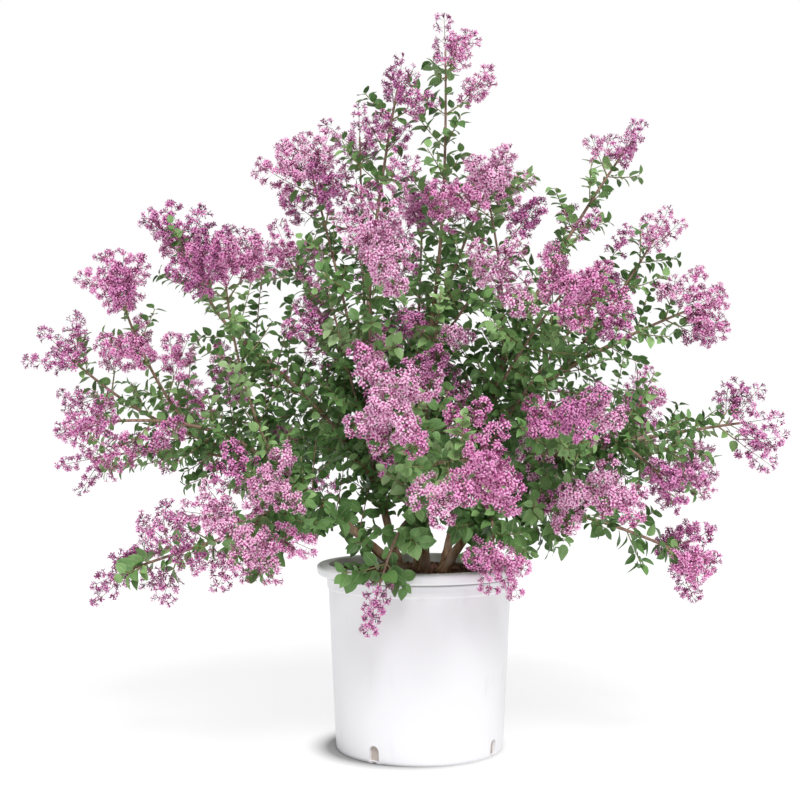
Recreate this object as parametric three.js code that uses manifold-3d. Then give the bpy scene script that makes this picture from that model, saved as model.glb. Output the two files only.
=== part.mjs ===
// A dwarf lilac bush in full bloom, growing in a round moulded nursery pot.
// Millimetres, +Z up. The origin is the centre of the pot's flat underside, and -Y is the bush's front.
import * as THREE from "three";
import { mergeVertices } from "three/addons/utils/BufferGeometryUtils.js";
import Module from "manifold-3d";

const wasm = await Module();
wasm.setup();

// ---- Driving sizes ----
const pot = {
  height: 250, rimRadius: 140, topRadius: 123.5, footRadius: 113, cornerRadius: 6, wall: 2.2, floor: 3,
  lipThickness: 15.5, collarDrop: 31, collarStep: 1.8, sides: 32,
};
const drain = { count: 4, first: -32, width: 14.5, height: 20, sill: 4, depth: 5, liner: 2, scallop: 4.5 };
const soil = { drop: 12, clearance: 0.3 };
const gap = 0.3; // between pieces that meet
const room = 1.2; // least distance of a leaf, twig or flower head from what isn't its own
const flare = { extra: 0.5, height: 16, level: 30 }; // a foot's swelling, and the height that levels its cut
const fork = { pull: 0.42, turn: 0.6 }; // how far a limb follows its first direction, and how far that turns
const boughEnd = 2.6; // radius of a bough where it enters a mass
const nodeSpacing = 44; // between the pairs of shoots along a mass's stem
const reachLimit = 1.25; // of a mass's width: the furthest that anything of it stands from its stem
const twig = { base: 2.4, end: 1.2, shoot: 1.2 }; // radii of a mass's stem and of its side shoots
const head = { length: 76, radius: 25, stalk: 0.3, fullWidth: 62 }; // stalk is the bare share of its shoot
const leaf = { length: 66, width: 46, ridge: 5, widest: 0.42 }; // widest is the share of its length
const headSizes = [1, 0.75]; // tried in turn until a head finds room
const leafTries = [[0, 1], [0.6, 1], [-0.6, 1], [0, 0.7], [0.8, 0.7], [-0.8, 0.7]]; // turn and size, likewise
const touch = 4; // cubic millimetres that two pieces of one mass may share where they meet at a node

const soilTop = pot.height - soil.drop;
const footLevel = soilTop + gap;

// ---- The plan of the bush: where each limb starts, and where it ends ----
// Stems rise from the soil. foot is across the pot, and bow bends the stem away from a straight line.
const stems = {
  leader: { foot: [4, 8], tip: [22, 24, 615], radii: [6, 3], bow: [-14, 0, 0] },
  left_leader: { foot: [-26, 16], tip: [-72, 8, 565], radii: [5.8, 3], bow: [-30, 0, 10] },
  left: { foot: [-22, -18], tip: [-215, -25, 397], radii: [6.6, 3.2], bow: [6, 0, 0] },
  right: { foot: [31, -12], tip: [205, -20, 410], radii: [6.2, 3.2], bow: [-34, 0, 10] },
  right_leader: { foot: [34, 20], tip: [135, 15, 565], radii: [5.6, 3], bow: [-22, 0, 10] },
  front: { foot: [8, -36], tip: [5, -175, 405], radii: [5.4, 3], bow: [0, 34, 0] },
  back: { foot: [0, 44], tip: [0, 190, 475], radii: [6, 3.2], bow: [0, -30, 0] },
};

// Boughs fork off a stem at a share of its length and end where they enter a mass.
const boughs = {
  left_shoulder: { on: "stem_left_leader", share: 0.34, tip: [-235, 30, 545] },
  far_left: { on: "stem_left", share: 0.72, tip: [-330, 20, 430] },
  low_left: { on: "stem_left", share: 0.42, tip: [-205, -70, 305] },
  low_right: { on: "stem_right", share: 0.4, tip: [195, -60, 322] },
  far_right: { on: "stem_right", share: 0.74, tip: [315, 20, 420] },
  right_shoulder: { on: "stem_right_leader", share: 0.5, tip: [240, 35, 535] },
  back_left: { on: "stem_back", share: 0.5, tip: [-180, 215, 425] },
  back_right: { on: "stem_back", share: 0.42, tip: [190, 215, 425] },
};

// Masses grow from a limb at a share of its length (1 is its tip) to their own furthest tip. width is how far
// the side shoots stand out, pairs is how many pairs of shoots may flower, counted from the tip, bloom is the
// share of those that do, and droop is how far the mass's stem arches over.
const masses = {
  // the crest
  crest: { on: "stem_leader", share: 1, tip: [34, 0, 1000], width: 68, pairs: 2, bloom: 0.9 },
  crest_left: { on: "stem_left_leader", share: 1, tip: [-20, -25, 940], width: 52, pairs: 5, bloom: 0.9 },
  crest_right: { on: "stem_leader", share: 0.8, tip: [120, 30, 822], width: 66, pairs: 3, bloom: 0.8 },
  slender_left: { on: "stem_left_leader", share: 0.8, tip: [-84, 50, 890], width: 52, pairs: 6, bloom: 0.9 },
  // upper left
  upper_left: { on: "stem_left_leader", share: 0.62, tip: [-162, -10, 835], width: 80, pairs: 3, bloom: 0.9 },
  left_shoulder: { on: "bough_left_shoulder", share: 1, tip: [-345, 20, 748], width: 66, pairs: 2, bloom: 0.8 },
  left_crown: { on: "stem_left", share: 0.86, tip: [-256, -110, 690], width: 80, pairs: 1, bloom: 1 },
  // left
  outer_left: { on: "bough_far_left", share: 0.85, tip: [-418, -40, 672], width: 76, pairs: 4, bloom: 1 },
  far_left: { on: "bough_far_left", share: 1, tip: [-524, 10, 572], width: 56, pairs: 2, bloom: 0.7 },
  left: { on: "stem_left", share: 1, tip: [-484, -70, 432], width: 68, pairs: 3, bloom: 0.8 },
  left_low: { on: "bough_far_left", share: 0.3, tip: [-512, 60, 378], width: 44, pairs: 5, bloom: 0.7, droop: 20 },
  skirt_left: { on: "bough_low_left", share: 1, tip: [-436, -50, 228], width: 60, pairs: 4, bloom: 0.8, droop: 50 },
  low_left: { on: "bough_low_left", share: 0.6, tip: [-216, -235, 268], width: 74, pairs: 2, bloom: 1, droop: 60 },
  front_left: { on: "stem_left", share: 0.64, tip: [-188, -250, 366], width: 66, pairs: 3, bloom: 0.8 },
  // right
  far_right: { on: "bough_far_right", share: 1, tip: [498, 0, 448], width: 66, pairs: 1, bloom: 0.6 },
  right: { on: "stem_right", share: 1, tip: [338, -110, 334], width: 60, pairs: 1, bloom: 0.8 },
  right_low: { on: "bough_far_right", share: 0.45, tip: [424, 90, 362], width: 60, pairs: 1, bloom: 0.8, droop: 40 },
  skirt_right: { on: "bough_low_right", share: 1, tip: [396, -40, 243], width: 58, pairs: 1, bloom: 0.7, droop: 50 },
  low_right: { on: "bough_low_right", share: 0.62, tip: [232, -215, 345], width: 64, pairs: 2, bloom: 0.7, droop: 50 },
  right_shoulder: { on: "bough_right_shoulder", share: 1, tip: [424, 10, 616], width: 60, pairs: 1, bloom: 0.6 },
  right_peak: { on: "bough_right_shoulder", share: 0.7, tip: [352, 30, 742], width: 46, pairs: 1, bloom: 0.3 },
  // upper right
  upper_right: { on: "stem_right_leader", share: 1, tip: [310, 10, 854], width: 50, pairs: 1, bloom: 0.7 },
  right_crown: { on: "stem_right_leader", share: 0.84, tip: [74, -70, 798], width: 80, pairs: 2, bloom: 1 },
  // front
  front_crown: { on: "stem_leader", share: 0.7, tip: [112, -150, 652], width: 76, pairs: 2, bloom: 0.6 },
  front_upper_left: { on: "stem_left_leader", share: 0.5, tip: [-58, -230, 690], width: 64, pairs: 1, bloom: 0.9 },
  front_upper_right: { on: "stem_right_leader", share: 0.6, tip: [186, -225, 620], width: 76, pairs: 1, bloom: 1 },
  front: { on: "stem_front", share: 1, tip: [-58, -385, 471], width: 60, pairs: 2, bloom: 1 },
  front_right: { on: "stem_front", share: 0.8, tip: [74, -385, 396], width: 76, pairs: 3, bloom: 1 },
  front_low_right: { on: "stem_right", share: 0.6, tip: [170, -300, 462], width: 54, pairs: 2, bloom: 0.8 },
  droop_left: { on: "stem_front", share: 0.34, tip: [-68, -186, 178], width: 42, pairs: 0, bloom: 0, droop: 80 },
  droop_right: { on: "stem_right", share: 0.3, tip: [84, -172, 230], width: 56, pairs: 0, bloom: 0.5, droop: 60 },
  // back
  back_crown: { on: "stem_back", share: 1, tip: [10, 190, 805], width: 78, pairs: 2, bloom: 0.8 },
  back: { on: "stem_back", share: 0.8, tip: [-10, 430, 595], width: 78, pairs: 2, bloom: 0.8 },
  back_low: { on: "stem_back", share: 0.66, tip: [10, 410, 335], width: 70, pairs: 2, bloom: 0.7, droop: 60 },
  back_left_high: { on: "stem_left_leader", share: 0.56, tip: [-215, 265, 715], width: 74, pairs: 0, bloom: 0.5 },
  back_right_high: { on: "stem_right_leader", share: 0.72, tip: [300, 200, 660], width: 74, pairs: 2, bloom: 0.8 },
  back_left: { on: "bough_back_left", share: 1, tip: [-385, 270, 475], width: 74, pairs: 2, bloom: 0.5 },
  back_right: { on: "bough_back_right", share: 1, tip: [385, 270, 485], width: 74, pairs: 2, bloom: 0.8 },
  back_left_low: { on: "bough_back_left", share: 0.6, tip: [-235, 350, 295], width: 62, pairs: 2, bloom: 0.7, droop: 50 },
  back_right_low: { on: "bough_back_right", share: 0.6, tip: [245, 350, 300], width: 62, pairs: 2, bloom: 0.7, droop: 50 },
  // the leafy heart
  heart_left: { on: "stem_left_leader", share: 0.22, tip: [-128, -60, 640], width: 60, pairs: 2, bloom: 1 },
  heart_right: { on: "stem_right_leader", share: 0.26, tip: [262, -70, 640], width: 60, pairs: 2, bloom: 1 },
  heart_front: { on: "stem_leader", share: 0.4, tip: [28, -120, 622], width: 60, pairs: 3, bloom: 1 },
};

// ---- Finishes ----
const finish = (color, roughness) => new THREE.MeshStandardMaterial({ color, roughness, metalness: 0 });
const potWhite = finish(0xf2f2f5, 0.35);
const soilBrown = finish(0x3a2a23, 0.95);
const bark = finish(0x5c4736, 0.85);
const blossom = finish(0xb877a8, 0.75);
const foliage = finish(0x51663d, 0.7);

// ---- Solids ----
const up = new THREE.Vector3(0, 0, 1);
const aside = new THREE.Vector3(1, 0.21, 0).normalize(); // a direction that no limb runs in
const point = ([x, y, z]) => new THREE.Vector3(x, y, z);

function solidOf(geometry) {
  const bare = geometry.clone();
  bare.deleteAttribute("normal");
  bare.deleteAttribute("uv");
  const merged = mergeVertices(bare, 1e-4);
  return new wasm.Manifold(new wasm.Mesh({
    numProp: 3,
    vertProperties: merged.attributes.position.array,
    triVerts: new Uint32Array(merged.index.array),
  }));
}

function geometryOf(solid) {
  const mesh = solid.getMesh();
  const geometry = new THREE.BufferGeometry();
  geometry.setAttribute("position", new THREE.BufferAttribute(mesh.vertProperties, 3));
  geometry.setIndex(new THREE.BufferAttribute(mesh.triVerts, 1));
  geometry.computeVertexNormals();
  return geometry;
}

// The biggest of the pieces that a cut leaves.
const mainPiece = (solid) => solid.decompose().sort((a, b) => b.volume() - a.volume())[0];

// ---- A seeded run of numbers from 0 to 1, the same on every run ----
function seeded(seed) {
  let state = Math.imul(seed + 1, 0x9e3779b9) >>> 0;
  return () => {
    state = (state + 0x6d2b79f5) >>> 0;
    let t = Math.imul(state ^ (state >>> 15), state | 1);
    t = (t + Math.imul(t ^ (t >>> 7), t | 61)) ^ t;
    return ((t ^ (t >>> 14)) >>> 0) / 4294967296;
  };
}
const between = (next, low, high) => low + (high - low) * next();

// ---- Limbs ----
// A closed tube of changing radius along a curve, with a ring at each of the given shares of its length.
// A rooted one is cut flat and level at its foot.
function tube(curve, radiusAt, sides, shares, rooted = false) {
  const steps = shares.length - 1;
  const geometry = new THREE.CylinderGeometry(1, 1, 1, sides, steps);
  const place = geometry.attributes.position;
  const length = curve.getLength();
  const vertex = new THREE.Vector3();
  for (let i = 0; i < place.count; i++) {
    vertex.fromBufferAttribute(place, i);
    const share = shares[Math.round((vertex.y + 0.5) * steps)];
    const along = curve.getTangentAt(share);
    if (rooted) along.lerp(up, Math.max(0, 1 - (share * length) / flare.level)).normalize();
    const other = new THREE.Vector3().crossVectors(aside, along).normalize();
    const across = new THREE.Vector3().crossVectors(along, other);
    const radius = radiusAt(share);
    const at = curve.getPointAt(share);
    at.addScaledVector(across, vertex.x * radius).addScaledVector(other, vertex.z * radius);
    place.setXYZ(i, at.x, at.y, at.z);
  }
  return solidOf(geometry);
}

const evenShares = (steps) => Array.from({ length: steps + 1 }, (_, i) => i / steps);
const taper = (base, end) => (share) => base + (end - base) * share;

function stemLimb(name, { foot, tip, radii, bow }) {
  const from = new THREE.Vector3(...foot, footLevel);
  const to = point(tip);
  const middle = from.clone().lerp(to, 0.5).add(point(bow));
  const curve = new THREE.QuadraticBezierCurve3(from, middle, to);
  const length = curve.getLength();
  const swell = (share) => 1 + flare.extra * Math.exp((-share * length) / flare.height);
  const plain = taper(...radii);
  const radiusAt = (share) => plain(share) * swell(share);
  return { name, curve, radiusAt, rooted: true, shares: evenShares(7), sides: 7 };
}

// A limb that leaves its parent's side, or goes on from the parent's tip, and bends to its own tip.
function branchCurve(parent, share, tip, droop = 0) {
  const atTip = share === 1;
  const along = parent.curve.getTangentAt(share);
  const from = parent.curve.getPointAt(share).addScaledVector(along, atTip ? gap : 0);
  const to = point(tip);
  const heading = to.clone().sub(from).normalize();
  const lead = atTip ? along : along.clone().lerp(heading, fork.turn).normalize();
  const middle = from.clone().addScaledVector(lead, from.distanceTo(to) * fork.pull);
  if (!atTip) middle.z += droop;
  return new THREE.QuadraticBezierCurve3(from, middle, to);
}

function boughLimb(name, { on, share, tip }) {
  const parent = limbs.get(on);
  const curve = branchCurve(parent, share, tip);
  const radiusAt = taper(parent.radiusAt(share) * 0.8, boughEnd);
  return { name, parent, curve, radiusAt, shares: evenShares(5), sides: 5 };
}

const limbTube = (limb, extra = 0) =>
  tube(limb.curve, (share) => limb.radiusAt(share) + extra, limb.sides, limb.shares, limb.rooted);
const clearOf = (solid, parent) => mainPiece(solid.subtract(limbTube(parent, gap)));

const limbs = new Map();
for (const [key, row] of Object.entries(stems)) limbs.set(`stem_${key}`, stemLimb(`stem_${key}`, row));
for (const [key, row] of Object.entries(boughs)) limbs.set(`bough_${key}`, boughLimb(`bough_${key}`, row));

// ---- Masses ----
// A mass's stem is a limb too: its space is all that lies nearer to that stem than to any other mass's.
const sprays = Object.entries(masses).map(([key, row], number) => {
  const parent = limbs.get(row.on);
  const base = row.share === 1 ? parent.radiusAt(1) : twig.base;
  const curve = branchCurve(parent, row.share, row.tip, row.droop);
  return { ...row, name: `mass_${key}`, number, parent, curve, radiusAt: taper(base, twig.end) };
});

// Distance from a place to a limb's surface, measured to a chain of straight pieces along it.
function chainOf(limb, pieces) {
  return Array.from({ length: pieces }, (_, i) => ({
    line: new THREE.Line3(limb.curve.getPointAt(i / pieces), limb.curve.getPointAt((i + 1) / pieces)),
    radius: Math.max(limb.radiusAt(i / pieces), limb.radiusAt((i + 1) / pieces)),
  }));
}
const nearest = new THREE.Vector3();
function distanceTo(chain, place) {
  let least = Infinity;
  for (const { line, radius } of chain) {
    line.closestPointToPoint(place, true, nearest);
    least = Math.min(least, nearest.distanceTo(place) - radius);
  }
  return least;
}
const limbChains = [...limbs.values()].map((limb) => chainOf(limb, 10));
const sprayChains = sprays.map((spray) => chainOf(spray, 8));

const potClear = (place) => {
  const out = Math.hypot(place.x, place.y);
  return place.z > pot.height + room || (out > pot.rimRadius + room && place.z > 0);
};

// Whether a piece with these points stays in its own mass's space, within reach, and off limbs and pot.
function fits(places, spray) {
  return places.every((place) => {
    const own = distanceTo(sprayChains[spray.number], place);
    return own < spray.width * reachLimit && potClear(place) &&
      limbChains.every((chain) => distanceTo(chain, place) > room) &&
      sprayChains.every((chain, i) => i === spray.number || distanceTo(chain, place) > own + 2 * room);
  });
}

// Points over a solid, close enough together to test it: its corners and the middles of its edges.
function testPoints(solid) {
  const { vertProperties, triVerts } = solid.getMesh();
  const corner = (i) => new THREE.Vector3().fromArray(vertProperties, triVerts[i] * 3);
  const places = [];
  for (let i = 0; i < triVerts.length; i += 3) {
    const [a, b, c] = [corner(i), corner(i + 1), corner(i + 2)];
    places.push(a, a.clone().lerp(b, 0.5), b.clone().lerp(c, 0.5));
  }
  return places;
}

// A frame that carries +Y along a direction, with +Z turned as far up as that allows.
function frameAlong(direction, at) {
  const side = new THREE.Vector3().crossVectors(direction, up);
  if (side.length() < 0.05) side.set(1, 0, 0);
  side.normalize();
  const rise = new THREE.Vector3().crossVectors(side, direction);
  return new THREE.Matrix4().makeBasis(side, direction, rise).setPosition(at);
}

// A leaf from its root at the origin to its tip on +Y: a ridge along its midrib, with a blade down each side.
function leafSolid(scale) {
  const geometry = new THREE.TetrahedronGeometry(1);
  const place = geometry.attributes.position;
  for (let i = 0; i < place.count; i++) {
    const side = Math.sign(place.getX(i));
    const onRidge = place.getZ(i) > 0;
    if (onRidge) place.setXYZ(i, 0, side > 0 ? leaf.length * scale : 0, 0);
    else place.setXYZ(i, (side * leaf.width * scale) / 2, leaf.widest * leaf.length * scale, -leaf.ridge);
  }
  return solidOf(geometry);
}

// The bare stalk of a flowering shoot, from the origin along +Y.
const stalkSolid = (length) =>
  solidOf(new THREE.CylinderGeometry(twig.shoot, twig.shoot, length, 3).translate(0, length / 2, 0));

// A lumpy flower head, wide low down and narrow at its tip, from the origin along +Y.
function headSolid(length, radius, next) {
  const bare = mergeVertices(new THREE.IcosahedronGeometry(1).deleteAttribute("normal").deleteAttribute("uv"));
  const place = bare.attributes.position;
  for (let i = 0; i < place.count; i++) {
    const along = (place.getY(i) + 1) / 2;
    const lump = between(next, 0.8, 1.15) * (1.25 - 0.6 * along) * radius;
    place.setXYZ(i, place.getX(i) * lump, along * length, place.getZ(i) * lump);
  }
  return solidOf(bare);
}

// Where a mass's side shoots go. They stand in pairs that turn by a quarter from one pair to the next, and
// the last few pairs may flower.
function shootsOf(spray) {
  const next = seeded(spray.number);
  const length = spray.curve.getLength();
  const crown = 1 - head.length / length;
  const count = Math.max(2, Math.round((crown * length) / nodeSpacing));
  const turn = between(next, 0, Math.PI);
  const shoots = [];
  for (let node = 0; node < count; node++) {
    const share = (crown * (node + 0.6)) / count;
    for (const way of [0, Math.PI]) {
      const spin = turn + (node * Math.PI) / 2 + way + between(next, -0.3, 0.3);
      const lean = between(next, 0.5, 0.9);
      const reach = spray.width * between(next, 1.15, 1.6);
      const flowers = next() < spray.bloom && node >= count - spray.pairs;
      shoots.push({ share, spin, lean, reach, flowers });
    }
  }
  return { crown, shoots };
}

// A direction that leaves a curve at a share of its length: round it by spin, and forward by lean.
function outward(curve, share, spin, lean) {
  const frame = frameAlong(curve.getTangentAt(share), curve.getPointAt(share));
  return new THREE.Vector3(Math.cos(spin), lean, Math.sin(spin)).transformDirection(frame);
}

// Everything that a mass grows: its stem, its flowering shoots with a head each, and leaves at other nodes.
function growMass(spray) {
  const next = seeded(spray.number + 1000);
  const headRadius = head.radius * Math.min(1.1, spray.width / head.fullWidth);
  const grown = [];
  const placed = (solid, from, direction) => solid.transform(frameAlong(direction, from).elements);
  const free = (solid) => fits(testPoints(solid), spray);
  const meetsOwn = (solid) => grown.some((other) => other.intersect(solid).volume() > touch);
  // Keeps the first of some sizes of a piece that finds room, and tells whether one did.
  const addFirst = (tries) => {
    const found = tries.find((solid) => free(solid) && !meetsOwn(solid));
    if (found) grown.push(found);
    return Boolean(found);
  };
  const headsAlong = (from, direction, length) => {
    const radius = headRadius * between(next, 0.9, 1.1);
    const solid = (size) => headSolid(length * size, radius * size, seeded(spray.number));
    return headSizes.map((size) => placed(solid(size), from, direction));
  };
  const leavesAt = (share, spin) => {
    const root = spray.curve.getPointAt(share);
    const lean = between(next, 0.2, 0.9);
    const scale = between(next, 0.9, 1.15);
    return leafTries.map(([turn, size]) =>
      placed(leafSolid(scale * size), root, outward(spray.curve, share, spin + turn, lean)));
  };

  const { crown, shoots } = shootsOf(spray);
  const crownBase = spray.curve.getPointAt(crown);
  const crownLine = spray.curve.getPointAt(1).sub(crownBase);
  addFirst(headsAlong(crownBase, crownLine.clone().normalize(), crownLine.length()));
  for (const { share, spin, lean, reach, flowers } of shoots) {
    const from = spray.curve.getPointAt(share);
    const direction = outward(spray.curve, share, spin, lean);
    const stalk = placed(stalkSolid(reach * (head.stalk + 0.2)), from, direction);
    const headBase = from.clone().addScaledVector(direction, reach * head.stalk);
    const heads = headsAlong(headBase, direction, reach * (1 - head.stalk));
    if (flowers && free(stalk) && addFirst(heads)) grown.push(stalk);
    else addFirst(leavesAt(share, spin));
  }

  const nodes = new Set(shoots.map(({ share }) => share));
  const wood = tube(spray.curve, spray.radiusAt, 3, [0, ...nodes, crown + 0.3 * (1 - crown)]);
  return clearOf(grown.reduce((whole, solid) => whole.add(solid), wood), spray.parent);
}

// ---- The pot and its soil ----
// Turns a lathe's outline, which three.js spins round Y, up to +Z.
const lathed = (outline, sides) => solidOf(new THREE.LatheGeometry(outline, sides).rotateX(Math.PI / 2));
const arcPoints = (x, y, radius, from, to, steps) =>
  new THREE.Path().absarc(x, y, radius, from, to, to < from).getPoints(steps);

function potShell() {
  const { height, rimRadius, topRadius, footRadius, cornerRadius, wall, floor } = pot;
  const lipBase = height - pot.lipThickness;
  const collarRadius = topRadius + pot.collarStep;
  const collarBase = height - pot.collarDrop;
  const inner = topRadius - wall;
  const outline = [
    new THREE.Vector2(0, 0),
    ...arcPoints(footRadius - cornerRadius, cornerRadius, cornerRadius, -Math.PI / 2, 0, 2),
    new THREE.Vector2(topRadius, collarBase - 2),
    new THREE.Vector2(collarRadius, collarBase),
    new THREE.Vector2(collarRadius + 1, lipBase - 2),
    new THREE.Vector2(rimRadius - 1.5, lipBase + 2),
    new THREE.Vector2(rimRadius, height - 5),
    new THREE.Vector2(rimRadius - 4, height),
    new THREE.Vector2(inner + 1, height - 0.5),
    new THREE.Vector2(inner - 1, collarBase),
    new THREE.Vector2(footRadius - wall, floor + 5),
    new THREE.Vector2(footRadius - wall - 5, floor),
    new THREE.Vector2(0, floor),
  ];
  return lathed(outline, pot.sides);
}

// Stands a flat outline upright across the pot's wall, and runs it outwards from the radius inner.
function acrossWall(shape, depth, heading, inner, level) {
  const outward = new THREE.Vector3(Math.sin(heading), -Math.cos(heading), 0);
  const across = new THREE.Vector3().crossVectors(up, outward);
  const place = new THREE.Matrix4().makeBasis(across, up, outward);
  place.setPosition(outward.clone().multiplyScalar(inner).setZ(level));
  const geometry = new THREE.ExtrudeGeometry(shape, { depth, bevelEnabled: false, curveSegments: 2 });
  return solidOf(geometry.applyMatrix4(place));
}

function archShape(width, height) {
  const half = width / 2;
  const shape = new THREE.Shape([new THREE.Vector2(-half, 0), new THREE.Vector2(half, 0)]);
  shape.lineTo(half, height - half);
  shape.absarc(0, height - half, half, 0, Math.PI, false);
  return shape;
}

const drainHeadings = Array.from({ length: drain.count }, (_, i) =>
  THREE.MathUtils.degToRad(drain.first + (360 / drain.count) * i));

// The block that backs a drain inside the pot, grown by extra for the soil to stay clear of it.
function drainLiner(heading, extra) {
  const inner = pot.footRadius - drain.depth - drain.liner - extra;
  const half = drain.width / 2 + drain.liner + extra;
  const top = drain.sill + drain.height + drain.liner + extra - pot.floor / 2;
  const corners = [[-half, 0], [half, 0], [half, top], [-half, top]];
  const shape = new THREE.Shape(corners.map(([x, y]) => new THREE.Vector2(x, y)));
  return acrossWall(shape, pot.footRadius - 1 - inner, heading, inner, pot.floor / 2);
}

function buildPot() {
  const back = pot.footRadius - drain.depth;
  let solid = potShell();
  for (const heading of drainHeadings) {
    const recess = acrossWall(archShape(drain.width, drain.height), 2 * drain.depth, heading, back, drain.sill);
    const arch = archShape(2 * drain.scallop, drain.scallop);
    const scallop = acrossWall(arch, 2 * drain.depth, heading, back - 1, -drain.scallop / 3);
    solid = solid.add(drainLiner(heading, 0)).subtract(recess).subtract(scallop);
  }
  return solid;
}

function buildSoil() {
  const clear = pot.wall + soil.clearance;
  const outline = [
    new THREE.Vector2(0, pot.floor + soil.clearance),
    new THREE.Vector2(pot.footRadius - clear - 5.5, pot.floor + soil.clearance),
    new THREE.Vector2(pot.footRadius - clear - 0.3, pot.floor + 6),
    new THREE.Vector2(pot.topRadius - clear - 1.3, pot.height - pot.collarDrop),
    new THREE.Vector2(pot.topRadius - clear - 1, soilTop),
    new THREE.Vector2(0, soilTop),
  ];
  let solid = lathed(outline, pot.sides);
  for (const heading of drainHeadings) solid = solid.subtract(drainLiner(heading, soil.clearance));
  return solid;
}

// ---- The bush ----
const bush = new THREE.Group();
function addNode(name, solid, material) {
  const mesh = new THREE.Mesh(geometryOf(solid), material);
  mesh.name = name;
  bush.add(mesh);
}

addNode("pot", buildPot(), potWhite);
addNode("soil", buildSoil(), soilBrown);
for (const limb of limbs.values()) {
  const whole = limbTube(limb);
  addNode(limb.name, limb.parent ? clearOf(whole, limb.parent) : whole, bark);
}
for (const spray of sprays) addNode(spray.name, growMass(spray), spray.bloom > 0 ? blossom : foliage);

export default bush;
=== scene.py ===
from math import cos, pi, radians, sin, sqrt
import bpy
import numpy as np
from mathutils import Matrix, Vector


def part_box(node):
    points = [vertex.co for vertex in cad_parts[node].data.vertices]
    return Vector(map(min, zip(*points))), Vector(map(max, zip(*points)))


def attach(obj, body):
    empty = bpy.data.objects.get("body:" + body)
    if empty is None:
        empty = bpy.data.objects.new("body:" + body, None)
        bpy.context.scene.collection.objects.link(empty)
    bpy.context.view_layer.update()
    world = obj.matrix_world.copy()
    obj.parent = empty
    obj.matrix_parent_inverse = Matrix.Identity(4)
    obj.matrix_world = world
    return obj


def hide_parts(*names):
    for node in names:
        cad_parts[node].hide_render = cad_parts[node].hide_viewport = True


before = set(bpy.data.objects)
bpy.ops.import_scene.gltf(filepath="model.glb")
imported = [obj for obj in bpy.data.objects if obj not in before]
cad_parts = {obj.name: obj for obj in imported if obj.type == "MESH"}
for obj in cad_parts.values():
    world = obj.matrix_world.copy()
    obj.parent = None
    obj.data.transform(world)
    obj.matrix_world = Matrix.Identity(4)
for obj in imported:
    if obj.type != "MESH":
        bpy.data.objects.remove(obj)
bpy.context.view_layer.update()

# A dwarf lilac in full flower, in a round white nursery pot.
# Blender works in metres, and the dictionaries below hold millimetres unless a note says otherwise.
mm = 0.001
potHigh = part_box("pot")[1]
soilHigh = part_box("soil")[1]
up = np.array([0.0, 0.0, 1.0])
quarter = pi / 2

# camera, light and floor
studio = dict(
    eye=(-26.5, -1900, 459), viewWidth=1088, sensor=36, shiftUp=0.01125, farthest=100000,
    lamps=dict(keyLight=(10, 48, 2.35), fillLight=(-70, 25, 0.08)),  # turn, height, power
    softness=24, sky=(0.97, 0.98, 1.0), skyPower=0.35,
    floorSize=300000, paper=("949494", "999999"), floorGlow=0.78,
    footShade=dict(centre=(-0.016, 0.004, 0), inner=0.108, outer=0.15, colour="505050"),  # metres
)


def buildStudio():
    s = studio
    scene = bpy.context.scene
    scene.view_settings.view_transform = "Standard"
    camera = bpy.data.cameras.new("camera")
    camera.sensor_width, camera.shift_y, camera.clip_end = s["sensor"], s["shiftUp"], s["farthest"] * mm
    camera.lens = s["sensor"] * -s["eye"][1] / s["viewWidth"]
    scene.camera = place("camera", camera)
    scene.camera.location = np.array(s["eye"]) * mm
    scene.camera.rotation_euler = (quarter, 0, 0)
    for name, (turn, height, power) in s["lamps"].items():
        sun = bpy.data.lights.new(name, "SUN")
        sun.energy, sun.angle = power, radians(s["softness"])
        place(name, sun).rotation_euler = (radians(90 - height), 0, radians(turn))

    scene.world = bpy.data.worlds.new("paleSky")
    sky = Nodes(scene.world)
    seen = sky.node("LightPath", {}, {}, "Is Camera Ray")
    ambient = sky.node("Background", {}, {"Color": (*s["sky"], 1), "Strength": s["skyPower"]})
    backdrop = sky.node("Background", {}, {"Color": (1, 1, 1, 1)})
    shown = sky.node("MixShader", {}, {0: seen, 1: ambient, 2: backdrop})
    sky.plug(sky.tree.nodes["World Output"].inputs["Surface"], shown)

    half = s["floorSize"] * mm / 2
    corners = [(half * x, half * y, 0) for x, y in ((-1, -1), (1, -1), (1, 1), (-1, 1))]
    mesh = bpy.data.meshes.new("floor")
    mesh.from_pydata(corners, [], [(0, 1, 2, 3)])
    paper = Finish("glowing paper floor", 0.9)
    paper.paint(paper.blend(paper.noise(3, 2), *s["paper"]))
    # a painted shadow: the floor's glow is darkened in a ring round the pot's foot
    shade = s["footShade"]
    away = paper.node("VectorMath", {"operation": "DISTANCE"}, {0: paper.place(), 1: shade["centre"]}, 1)
    under = paper.span(away, shade["inner"], shade["outer"], 1, 0)
    paper.feed("Emission Color", paper.blend(under ** 2, "ffffff", shade["colour"]))
    paper.feed("Emission Strength", s["floorGlow"])
    mesh.materials.append(paper.material)
    place("floor", mesh)


def place(name, content):
    made = bpy.data.objects.new(name, content)
    bpy.context.scene.collection.objects.link(made)
    return made


# finishes
def tint(code):  # a colour as it looks on a screen, turned into light amounts
    shares = [int(code[i:i + 2], 16) / 255 for i in (0, 2, 4)]
    return tuple(s / 12.92 if s <= 0.04045 else ((s + 0.055) / 1.055) ** 2.4 for s in shares) + (1.0,)


def operator(operation, swapped=False):
    def act(value, other=0):
        pair = (other, value) if swapped else (value, other)
        return value.nodes.node("Math", {"operation": operation}, dict(enumerate(pair)))
    return act


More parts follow.
